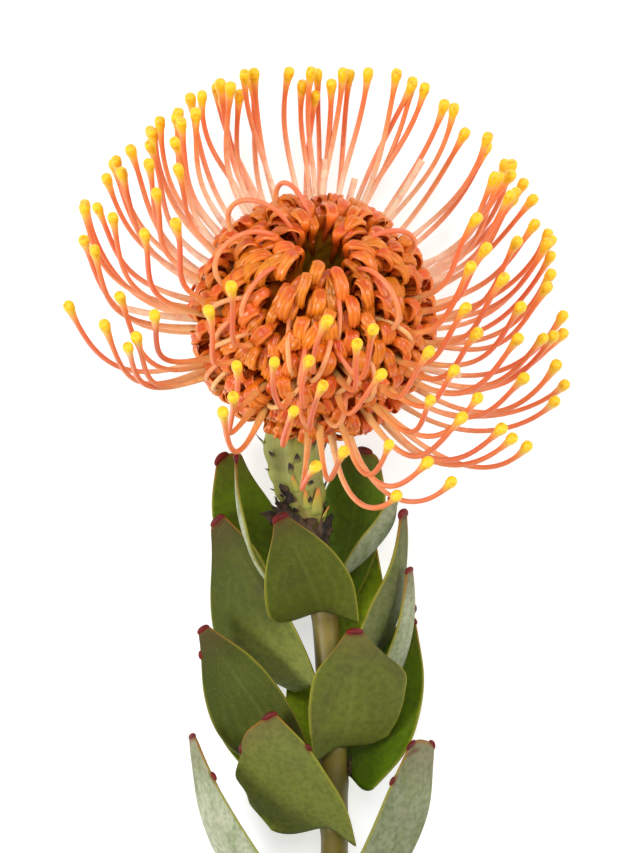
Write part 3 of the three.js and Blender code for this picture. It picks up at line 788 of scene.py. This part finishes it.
def make_bracts():
    spots = []
    for k in range(BRACT_COUNT):
        y, around, size = bract_place(k)
        centre, upward, out = stem_out(y, around)
        up = leaning(upward, out, math.radians(16 + 22 * jitter(k, 22)))
        place = centre + out * (stem_radius(y) - 0.15) - upward * 0.4
        spots.append(scale_spot(place, up, out, [2.3 * size, size * (1.9 + 2.2 * jitter(k, 23)), 2.0]))
    for y, around, lean, width, length in FRESH_BRACTS:
        centre, upward, out = stem_out(y, around)
        up = leaning(upward, out, lean)
        place = centre + out * (stem_radius(y) + 0.2)
        spots.append(scale_spot(place, up, out, [width, length, 2.2], 1.0))
    bracts = scatter("bracts", [bract_pattern(7, 5)], spots, Ripple=0.0006, Grain=400.0,
                     Material=bract_finish())
    give(bracts, "stem")


def make_husks():
    """The dried, crumpled scales on the stalk."""
    spots = []
    for y, around, swing, width, length, rise in HUSKS:
        centre, upward, out = stem_out(y, around)
        up = unit(turned_about(upward, out, swing))
        spots.append(scale_spot(centre + out * (stem_radius(y) + rise), up, out, [width, length, 4.0]))
    husks = scatter("dried_scales", [bract_pattern(22, 13)], spots, Ripple=0.003, Grain=420.0,
                    Material=husk_finish())
    give(husks, "stem")


# ---- leaves

BLADE_ACROSS = 29
BLADE_ALONG = 45
BLADE_THICK = 0.62
CORNER = 0.45  # how far the blade's corners are rounded off, as a share of its half width

for leaf in LEAVES:
    leaf["halves"] = [through(np.array(leaf[edge], float)[:, None], 41)[:, 0] for edge in ("left", "right")]


def blade_half(leaf, u, v):
    """Half width of a blade at a share v of its length, on the side of u."""
    return np.interp(v, np.linspace(0, 1, 41), leaf["halves"][int(u > 0)])


def blade_point(leaf, u, v):
    """A point in the middle of the blade, and the direction out of its outer face."""
    centre, upward, out = stem_out(leaf["at"], leaf["around"])
    base = centre + out * (stem_radius(leaf["at"]) + LEAF_GAP + 0.4)
    tip = np.array(leaf["tip"], float)
    length = np.linalg.norm(tip - base)
    opened = math.radians(leaf["opened"])
    start = upward * math.cos(opened) + out * math.sin(opened)
    bend = base + start * length * 0.5
    spine = bezier([base, bend, tip], [v])[0]
    along = unit((bend - base) * (1 - v) + (tip - bend) * v)
    normal = unit(out - along * (out @ along))
    turned = leaf["roll"] * (1 - (1 - v) ** 6) + leaf["twist"] * v
    normal = turned_about(normal, along, turned)
    side = np.cross(along, normal)
    x = u * blade_half(leaf, u, v)
    lobe = leaf["lobes"][int(u > 0)] * (1 - v) ** 3 * abs(u) ** 1.5
    corner = CORNER * blade_half(leaf, u, v) * u**4 * ((1 - v) ** 3 - v**6)
    width = max(leaf["left"]) + max(leaf["right"])
    hollow = leaf["cup"] * (1 + 0.6 * (1 - v) ** 2) * 2 * x * x / width
    return spine + side * x - upward * lobe + along * corner - normal * hollow, normal, x, length


def make_leaf(leaf, k, finish):
    """A blade with a rounded, slightly thickened margin, swollen where its calluses sit."""
    calluses = leaf["calluses"]
    # How much lighter or darker the blade is painted at its base and tip, as painted light and shade.
    light_base, light_tip = leaf["light"]
    tops, lows, values = [], [], {}
    spots = [blade_point(leaf, u, v)[2] for u, v, _ in calluses]
    for r in range(BLADE_ALONG):
        v = (r / (BLADE_ALONG - 1)) ** 0.94
        for c in range(BLADE_ACROSS):
            raw = 2 * c / (BLADE_ACROSS - 1) - 1
            u = math.copysign(1 - (1 - abs(raw)) ** 1.35, raw)
            middle, normal, x, length = blade_point(leaf, u, v)
            wave = 0.25 * math.sin(5 * v + k) * u * u
            wave += 0.12 * math.sin(11 * v + 2 * k + 3 * u)
            middle = middle + normal * wave * min(1, 4 * v) * min(1, 6 * (1 - v))
            callus = 0.0
            for spot, (_, place, size) in zip(spots, calluses):
                wide, long = (1.7, 0.85) if place > 0.95 else (0.8, 1.2)
                far = math.hypot((x - spot) / (wide * size), (v - place) * length / (long * size))
                callus = max(callus, smooth(far, 1.2, 0.75))
            from_edge = min((1 - abs(u)) * blade_half(leaf, u, v), (1 - v) * length)
            edge = smooth(from_edge, 0.55, 0.1)
            vein = 0.0
            for branch in range(-3, 4):
                line = branch * 0.27 * math.sin(math.pi * min(1, 0.12 + v)) ** 0.8
                vein = max(vein, math.exp(-(((u - line) * 10) / 0.35) ** 2) * (1 if branch == 0 else 0.6))
            vein *= smooth(v, 1.0, 0.7)
            thick = BLADE_THICK * (1 - 0.25 * edge) + 0.2 * callus + 0.06 * vein
            if r in (0, BLADE_ALONG - 1) or c in (0, BLADE_ACROSS - 1):
                thick *= 0.45
            tops.append(middle + normal * thick / 2)
            lows.append(middle - normal * thick / 2)
            here = {"inner": 0.0, "rim": edge, "callus": callus, "vein": vein, "along": v,
                    "silver": leaf["silver"], "glow": leaf["glow"],
                    "light": light_base + (light_tip - light_base) * v}
            for label, value in here.items():
                values.setdefault(label, []).append(value)
    for label, value in values.items():
        value += [1.0] * len(value) if label == "inner" else value
    for spot in tops + lows:
        spot[2] = max(spot[2], 0.05 - HEAD_HEIGHT)
    number = f"{k + 1:02d}"
    faces = sheet_faces(BLADE_ALONG, BLADE_ACROSS)
    blade = new_object(f"blade_{number}", tops + lows, faces=faces, **values)
    complete(blade, finish, "leaf", f"leaf_{number}")


def make_calluses():
    """The swollen calluses that sit along the blades' margins, at the tip and on each tooth."""
    points, faces = [], []
    steps, sides = 13, 12
    for leaf in LEAVES:
        route = [(-1, v) for v in np.linspace(0, 1, 80)] + [(u, 1) for u in np.linspace(-0.9, 0.9, 19)]
        route += [(1, v) for v in np.linspace(1, 0, 80)]
        spots = [blade_point(leaf, u, v) for u, v in route]
        edge = np.array([spot[0] for spot in spots])
        for u, v, size in leaf["calluses"]:
            nearest = int(np.argmin(np.linalg.norm(edge - blade_point(leaf, u, v)[0], axis=1)))
            reach = (1.75 if v > 0.95 else 1.15) * size
            along = lengths(edge)[nearest] + np.linspace(-reach, reach, steps)
            line = placed(edge, along)
            normal = spots[nearest][1]
            start = len(points)
            for k, centre in enumerate(line):
                forward = unit(line[min(k + 1, steps - 1)] - line[max(k - 1, 0)])
                inward = np.cross(normal, forward)
                swell = max(0.001, 1 - (2 * k / (steps - 1) - 1) ** 2) ** 0.5
                for c in range(sides):
                    a = 2 * math.pi * c / sides
                    ring = inward * 0.62 * math.cos(a) + normal * 0.5 * math.sin(a)
                    points.append(centre + ring * swell * size)
            faces += tube_faces(steps, sides, start)
    complete(new_object("leaf_calluses", points, faces=faces), callus_finish(), "leaf", merged=True)


# ---- flower head


def make_core():
    """The ball of packed perianth tubes, with the open crown sunk into its apex."""
    outline = []
    for lean in np.linspace(180, 24, 40):
        a = math.radians(lean)
        outline.append([CORE_RADIUS * math.sin(a), CORE_RADIUS * math.cos(a), 0])
    rim = CORE_RADIUS * 0.98
    floor = rim - HOLLOW_DEPTH
    crown = bezier([[HOLLOW_RADIUS + 2.2, rim], [HOLLOW_RADIUS - 0.4, rim], [HOLLOW_RADIUS * 0.8, floor],
                    [0, floor]], np.linspace(0, 1, 22))
    outline += [[x, z, 0.15 + 0.85 * k / 21] for k, (x, z) in enumerate(crown)]
    sides = 72
    points, depth = [], []
    for x, z, deep in outline:
        for s in range(sides):
            a = 2 * math.pi * s / sides
            ridge = 0.22 * math.cos(9 * a + 2 * z) * (deep > 0.2)
            wide = x - ridge * min(1, x)
            points.append(np.array(HEAD_TURNED @ Vector((wide * math.cos(a), wide * math.sin(a), z))))
            depth.append(deep)
    core = new_object("head_core", points, faces=tube_faces(len(outline), sides), depth=depth)
    complete(core, core_finish(), "flower", merged=True)


# One perianth: distance away from the head's axis and distance out, along its rolled-back band.
CURL_ROUTES = [
    [[-0.8, 18.5], [-1.2, 22], [-2.5, 24.4], [-2.3, 26.4],
     [-0.2, 27.5], [2.2, 26.8], [3, 24.6], [1.4, 22.9]],
    [[-0.6, 18.5], [-1.1, 21.8], [-2.6, 24], [-2.7, 26],
     [-1, 27.4], [1.5, 27.2], [3.1, 25.2], [2.2, 22.9]],
    [[-1, 18.5], [-1.1, 21.8], [-2.1, 24.2], [-2, 26.1],
     [-0.1, 27.1], [2, 26.2], [2.4, 24.2], [0.6, 23]],
    [[-0.6, 18.5], [-1.3, 22], [-2.6, 24.6], [-2.4, 26.6],
     [-0.2, 27.4], [2.6, 26.7], [3.9, 24.4], [2.8, 21.9]],
]

# The band's section along the route: place, width, and how far round it bends
# (below zero it wraps a tube, above zero it is a spoon with raised margins).
CURL_SECTIONS = np.array([
    [0.0, 2.6, -2.0], [0.2, 2.5, -1.8], [0.3, 2.5, -1.5], [0.38, 2.6, -1.1], [0.46, 2.8, -0.5],
    [0.55, 2.95, -0.3], [0.64, 3.0, -0.55], [0.76, 3.0, -0.7], [0.9, 2.9, -0.8], [1.0, 2.5, -0.9],
])
CURL_HOOD = 1.1  # the last kind's pocket gapes wider
CURL_THICK = 0.38
RIB_HEIGHT = 0.13
CURL_ROWS = [0, 0.12, 0.21, 0.28, 0.33, 0.37, 0.4, 0.43, 0.46, 0.49, 0.53, 0.57, 0.62, 0.68, 0.74, 0.8, 0.86,
             0.91, 0.96, 1]


def curl_pattern(k):
    """A perianth's band: a tube at the foot, a rounded nose with a pocket, then rolled back and ribbed."""
    rows, columns = len(CURL_ROWS), 7
    fine = through([[s, r - BALL_RADIUS, 0] for s, r in CURL_ROUTES[k]], 701)
    points = [[], []]
    values = {label: [] for label in ("along", "across", "back")}
    for t in CURL_ROWS:
        place = int(round(700 * t))
        step = unit(fine[min(place + 14, 700)] - fine[max(place - 14, 0)])
        normal = np.array([-step[1], step[0]])
        width = np.interp(t, CURL_SECTIONS[:, 0], CURL_SECTIONS[:, 1])
        turned = np.interp(t, CURL_SECTIONS[:, 0], CURL_SECTIONS[:, 2])
        if k == len(CURL_ROUTES) - 1:
            turned += CURL_HOOD * math.exp(-(((t - 0.5) / 0.1) ** 2))
        turned = math.copysign(max(abs(turned), 0.05), turned)
        bend = width / 2 / turned
        for c in range(columns):
            u = 2 * c / (columns - 1) - 1
            x = bend * math.sin(u * turned)
            n = bend * (1 - math.cos(u * turned))
            n += RIB_HEIGHT * math.cos(3 * math.pi * u) * smooth(t, 0.4, 0.6)
            sway = 0.3 * math.sin(3 * t + 2 * k) * t
            torn = 0.5 * math.sin(5 * u + 2 * k) * max(0, t - 0.85) / 0.15
            for face, half in ((0, CURL_THICK / 2), (1, -CURL_THICK / 2)):
                at = n + half * (1 - 0.35 * abs(u) ** 4)
                points[face].append([
                    x + sway,
                    fine[place][0] + normal[0] * at + step[0] * torn,
                    fine[place][1] + normal[1] * at + step[1] * torn,
                ])
            values["along"].append(t)
            values["across"].append(u)
            values["back"].append(0.0)
    for label, value in values.items():
        value += [1.0] * len(value) if label == "back" else value
    return pattern(f"curl_pattern_{k}", points[0] + points[1], rows, columns, **values)


def curl_place(k, count, turn):
    """Lean and side of a curl: a spiral of equal areas with a little play."""
    lean = even_lean(CURL_FIRST, CURL_LAST, k, count)
    side = k * GOLDEN_ANGLE + turn + 4 * play(k, 32) / math.sin(math.radians(lean))
    return lean + 3 * play(k, 31), side


def make_curls(name, count, turn, deep, finish):
    """One layer of rolled-back perianths, tidy round the crown and ragged below it."""
    patterns = [curl_pattern(k) for k in range(len(CURL_ROUTES))]
    spots = []
    for k in range(count):
        lean, side = curl_place(k, count, turn)
        ragged = ramp(lean, 35, 95)
        tidy_rim = 1 - ramp(lean, 20, 45)
        out = aim(lean, side)
        away = turned_about(aim(lean + 90, side), out, (14 + 90 * ragged) * play(k, 33))
        tip = turned_about(out, away, (14 + 56 * ragged) * play(k, 34))
        across = np.cross(away, tip)
        tip = turned_about(tip, across, 18 * ragged * play(k, 40))
        low = deep + 0.2 + 1.6 * ragged * jitter(k, 35)
        wide = 1.0 - 0.06 * ragged + 0.26 * play(k, 36)
        long = 1.0 + 0.18 * tidy_rim - 0.08 * ragged + 0.2 * play(k, 37)
        spots.append({
            "place": tip * (BALL_RADIUS - low),
            "turn": turn_to(across, np.cross(tip, across), tip),
            "size": [wide, long, 1.0],
            "kind": int(len(patterns) * jitter(k, 38)),
            "blush": jitter(k, 39),
        })
    curls = scatter(name, patterns, spots, Ripple=0.0011, Grain=260.0, Material=finish)
    keep_above_table(curls)
    give(curls, "flower")


def keep_above_table(piece):
    """Press what would dip under the table flat on it."""
    for point in piece.data.vertices:
        point.co.z = max(point.co.z, 0.01 * MM)
    piece.data.update()


def style_route(k):
    """Curve of one style: out of the ball, then hooked up to its knob."""
    # Its tip stands in a ring, between an inner and an outer lean that vary round the head.
    turn = k * GOLDEN_ANGLE
    side = turn + 10 * cos_of(turn) + 14 * play(k, 1)
    a = math.radians(side)
    inner = 43 + 6 * math.sin(a) - 4 * math.cos(2 * a)
    outer = 73 + 11 * math.cos(2 * a) + 5 * math.cos(a + math.radians(50))
    outer += 12 * max(0, math.cos(a + math.radians(65))) ** 3
    lean = even_lean(inner, outer, k, STYLE_COUNT) + 3 * play(k, 2)
    # Tips near the head's axis reach less far, apart from those at the top.
    shorter = 8 * (1 - ramp(lean, 35, 80)) * (1 - 0.85 * max(0, math.sin(a)))
    shorter += 9 * jitter(k, 3) ** 4 * max(0, math.sin(a))
    reach = (STYLE_REACH - shorter) * (1 + 0.04 * play(k, 3)) + 2.5 * max(0, math.sin(a)) ** 2
    # It leaves the ball below its tip and comes up to it along the hook's direction.
    below = 24 + 0.42 * (lean - 40) + 7 * play(k, 4)
    crowd = 8 * math.sin(2 * a) * max(0, math.sin(a))
    out = aim(lean + below, side + crowd + 8 * play(k, 5))
    hook = aim(12 + 10 * jitter(k, 6), side + 28 * play(k, 7))
    knob = np.clip(aim(lean, side) * reach, tips_low, tips_high)
    sideways = unit(np.cross(out, hook))
    rise = knob + hook * (-15 - 3 * jitter(k, 8)) + sideways * 6 * play(k, 10)
    bend = out * (36 + 10 * ramp(lean, 35, 70)) + sideways * 9 * play(k, 11)
    return bezier([out * STYLE_ROOT, bend, rise, knob], np.linspace(0, 1, 90)), out


# The pollen presenter and the neck below it: distance back from the tip, and radius.
KNOB_FORM = [
    [0.0, 0.5], [0.1, 0.82], [0.36, 1.06], [0.8, 1.19], [1.4, 1.2], [2.0, 1.16], [2.35, 1.05], [2.8, 0.94],
    [3.6, 0.85], [4.7, 0.74], [5.9, 0.64], [7.4, STYLE_RADIUS],
]
NECK = KNOB_FORM[-1][0]

# How far the ends of the styles may reach, so that their knobs stay in the part's box.
KNOB_ROOM = 1.25  # the widest knob's radius and a little more
END_ROOM = 0.5  # where the knobs point out of the box, at the top of the head
tips_low = np.array(cad_low) / MM - [0, 0, HEAD_HEIGHT] + KNOB_ROOM
tips_high = np.array(cad_high) / MM - [0, 0, HEAD_HEIGHT] - [KNOB_ROOM, END_ROOM, KNOB_ROOM]


def strands(name, routes, finish, sides):
    """Grow round strands from the points and values of each route."""
    points, edges, values = [], [], {}
    for route, given in routes:
        first = len(points)
        points += list(route)
        edges += [(first + j, first + j + 1) for j in range(len(route) - 1)]
        for label, value in given.items():
            values.setdefault(label, []).extend(list(value))
    lines = new_object(name + "_lines", points, edges=edges, **values)
    return strand_tree().grow(lines, name, Sides=sides, Material=finish)


def strand_values(count, thick, wide, widen, tone, pale, blush):
    """The values of a strand's points, each given once for all or point by point."""
    values = {"thick": thick * MM, "widen": widen, "tone": tone, "pale": pale, "blush": blush}
    values = {label: np.broadcast_to(value, count) for label, value in values.items()}
    return values | {"wide": np.tile(wide, (count, 1))}


def style_strand(k):
    route, out = style_route(k)
    total = lengths(route)[-1]
    shaft = np.linspace(0, total - NECK, 22)[:-1]
    knob = total - np.array([d for d, _ in reversed(KNOB_FORM)])
    run = np.concatenate([shaft, knob])
    line = placed(route, run)
    line[:, 2] = np.maximum(line[:, 2], STYLE_RADIUS + 0.05 - HEAD_HEIGHT)
    foot = smooth(run, 16, 2)
    radius = STYLE_RADIUS * (0.94 + 0.12 * jitter(k, 41)) * np.ones(len(run)) + 0.08 * foot
    size = 0.93 + 0.14 * jitter(k, 42)
    radius[-len(knob) :] = [r * (size if r > STYLE_RADIUS else 1) for _, r in reversed(KNOB_FORM)]
    tone = np.concatenate([0.76 * shaft / (total - NECK), 0.76 + 0.24 * (knob - total + NECK) / NECK])
    wide = unit(np.cross(out, unit(route[-1])))
    # Painted backlight: a style pointing sideways or down is painted paler, most of all at the back of the
    # head.
    behind = 0.3 + 0.7 * smooth(out[1], -0.05, 0.55)
    pale = smooth(out[2], 0.55, -0.1) * (0.65 + 0.35 * jitter(k, 43)) * behind
    blush = 0.05 + 0.4 * jitter(k, 44) ** 2
    return line, strand_values(len(run), radius, wide, 0.6 * foot, tone, pale, blush)


def arch_strand(k, side, start, end, high, drift, ripe=0.68):
    """A style that is still held by its tip in the crown."""
    crown = aim(start, side) * (CORE_RADIUS - 1)
    foot = aim(end, side + drift) * (CORE_RADIUS - 3)
    rise = aim(start + 2, side + drift * 0.2) * high
    fall = aim(end + 4, side + drift * 0.8) * high
    line = bezier([foot, fall, rise, crown], np.linspace(0, 1, 34))
    run = lengths(line) / lengths(line)[-1]
    thick = STYLE_RADIUS - 0.07 + 0.12 * (1 - run)
    widen = 0.6 * (1 - smooth(run, 0.1, 0.45))
    wide, blush = unit(np.cross(foot, crown)), 0.2 + 0.5 * jitter(k, 45)
    # The arch gets a little painted backlight.
    return line, strand_values(len(run), thick, wide, widen, 0.04 + ripe * run, 0.1, blush)


def low_arch(k):
    """One of the short styles that lie across the curls on the stalk's side of the ball."""
    start = 42 + 44 * jitter(k, 52)
    side, drift = -88 + 130 * play(k, 51), 60 * play(k, 55)
    end, high, ripe = start + 22 + 12 * jitter(k, 53), 31.5 + 1.5 * jitter(k, 54), 0.16 + 0.4 * jitter(k, 56)
    return side, start, end, high, drift, ripe


def stub_strand(side, lean, reach):
    """A broken style."""
    out = aim(lean, side)
    end = aim(lean - 6, side) * reach
    line = bezier([out * STYLE_ROOT, out * (STYLE_ROOT + reach) / 2, end], np.linspace(0, 1, 14))
    wide, tone = unit(np.cross(out, [0, 0, 1])), np.linspace(0.05, 0.3, len(line))
    # A broken style gets a large share of painted backlight.
    return line, strand_values(len(line), STYLE_RADIUS, wide, 0.3, tone, 0.7, 0.1)


def missing(k):
    """Whether a style is left out, where the ring is thin: before and behind the head."""
    turn = math.radians(k * GOLDEN_ANGLE)
    share = 0.55 * smooth(math.sin(turn), 0.45, 0.85) + 0.4 * smooth(-math.sin(turn + 0.4), 0.5, 0.8)
    return jitter(k, 9) < share


def make_styles():
    routes = [style_strand(k) for k in range(STYLE_COUNT) if not missing(k)]
    routes += [arch_strand(k, *arch) for k, arch in enumerate(ARCHES)]
    routes += [arch_strand(k, *low_arch(k)) for k in range(LOW_ARCH_COUNT)]
    routes += [stub_strand(*stub) for stub in STUBS]
    give(strands("styles", routes, style_finish(), 10), "flower", "flower_head")


# ---- stage

FLOOR_HALF = 3.0  # metres
LENS = 137
SENSOR = 36
CAMERA_AT = (1.7, -23.3, HEAD_HEIGHT + 700)
LIT_POINT = (0, -0.04, 0.02)  # metres


def make_floor():
    corners = [(x * FLOOR_HALF, y * FLOOR_HALF, 0) for x, y in ((-1, -1), (1, -1), (1, 1), (-1, 1))]
    mesh = bpy.data.meshes.new("floor")
    mesh.from_pydata(corners, [], [(0, 1, 2, 3)])
    mesh.materials.append(floor_finish())
    link(bpy.data.objects.new("floor", mesh))


def make_light(name, place, size, power):
    data = bpy.data.lights.new(name, "AREA")
    data.shape = "DISK"
    data.size = size
    data.energy = power
    light = link(bpy.data.objects.new(name, data))
    light.location = place
    light.rotation_euler = (Vector(LIT_POINT) - Vector(place)).to_track_quat("-Z", "Y").to_euler()


def make_lights():
    make_light("soft_left", (-0.9, -0.3, 0.8), 0.5, 8.5)
    make_light("soft_right", (0.9, 0.1, 0.7), 0.5, 5)
    make_light("soft_top", (0.0, 0.5, 1.3), 0.6, 6)
    world = bpy.data.worlds.new("studio")
    world.use_nodes = True
    sky = world.node_tree.nodes["Background"].inputs
    sky["Color"].default_value = (1, 1, 1, 1)
    sky["Strength"].default_value = 0.5
    bpy.context.scene.world = world


def make_camera():
    """Looks straight down on the flower, with the end of the stem out of view."""
    data = bpy.data.cameras.new("camera")
    data.lens = LENS
    data.sensor_width = SENSOR
    data.clip_start = 0.05
    camera = link(bpy.data.objects.new("camera", data))
    camera.location = np.array(CAMERA_AT) * MM
    bpy.context.scene.camera = camera


make_core()
curl_skin = curl_finish()
make_curls("perianth_curls", CURL_COUNT, 0, 0, curl_skin)
make_curls("inner_curls", INNER_CURL_COUNT, 67, 2.2, curl_skin)
make_styles()
make_stem()
make_bracts()
make_husks()
leaf_skin = leaf_finish()
for number, leaf in enumerate(LEAVES):
    make_leaf(leaf, number, leaf_skin)
make_calluses()
make_floor()
make_lights()
make_camera()
bpy.context.scene.view_settings.view_transform = "Standard"
